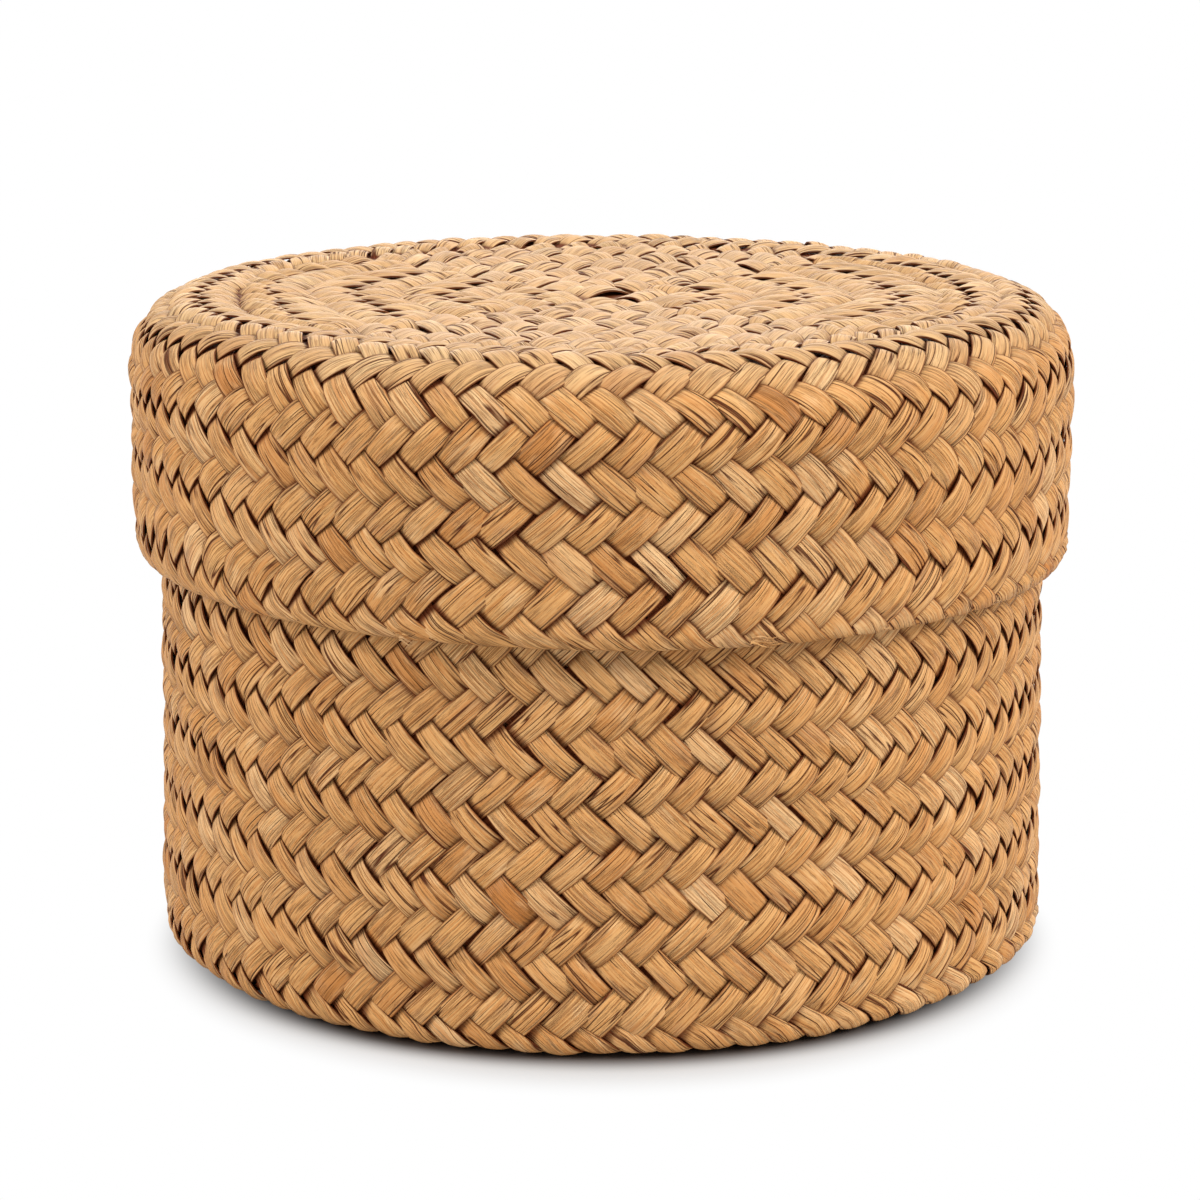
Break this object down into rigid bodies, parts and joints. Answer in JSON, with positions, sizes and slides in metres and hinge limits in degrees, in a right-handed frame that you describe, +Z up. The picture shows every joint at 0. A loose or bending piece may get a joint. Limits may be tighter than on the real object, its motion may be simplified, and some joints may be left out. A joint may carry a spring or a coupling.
{
  "type": "woven lidded box",
  "caption": "Round plaited palm-leaf box with a deep slip-over lid: twill herringbone walls, folded rims and a flat base, for keeping small things.",
  "frame": {"origin": "on the table, under the middle of the base", "axes": "+Z up along the axis of the round box, -Y towards the viewer of the picture, +X to that viewer's right"},
  "size_m": [0.2498, 0.2498, 0.1723],
  "materials": {
    "palm_weave": "dried palm-leaf strips, satin",
    "palm_lining": "dried palm-leaf strips, matt",
    "palm_fold": "folded palm-leaf strips, satin"
  },
  "bodies": {
    "box": {"box_base_weave": "palm_weave", "box_base_lining": "palm_lining", "box_wall_weave": "palm_weave", "box_wall_lining": "palm_lining", "box_rim_fold": "palm_fold"},
    "lid": {"lid_top_weave": "palm_weave", "lid_top_lining": "palm_lining", "lid_skirt_weave": "palm_weave", "lid_skirt_lining": "palm_lining", "lid_rim_fold": "palm_fold"}
  },
  "joints": [
    {"name": "lid_lift", "type": "slide", "parent": "box", "child": "lid", "axis": [0, 0, 1], "range_m": [0, 0.12]}
  ]
}
